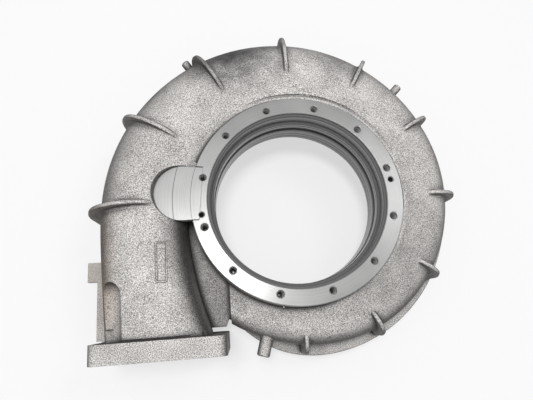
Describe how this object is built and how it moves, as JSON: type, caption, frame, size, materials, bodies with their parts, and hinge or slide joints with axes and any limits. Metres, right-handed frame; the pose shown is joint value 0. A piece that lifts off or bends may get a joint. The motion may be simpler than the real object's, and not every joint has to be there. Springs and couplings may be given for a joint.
{
  "type": "turbocharger turbine housing",
  "caption": "Cast turbine housing of a turbocharger: ribbed scroll round a machined bore, with a rectangular inlet flange.",
  "frame": {"origin": "on the bore axis, in the plane of the machined bolting ring", "axes": "+Z along the bore axis out of the bolting ring, -Y the way the inlet flange faces"},
  "size_m": [0.4313, 0.3813, 0.1303],
  "materials": {
    "cast_iron": "shot-blasted cast surface with machined faces"
  },
  "bodies": {
    "root": {"turbine_housing": "cast_iron"}
  },
  "joints": []
}
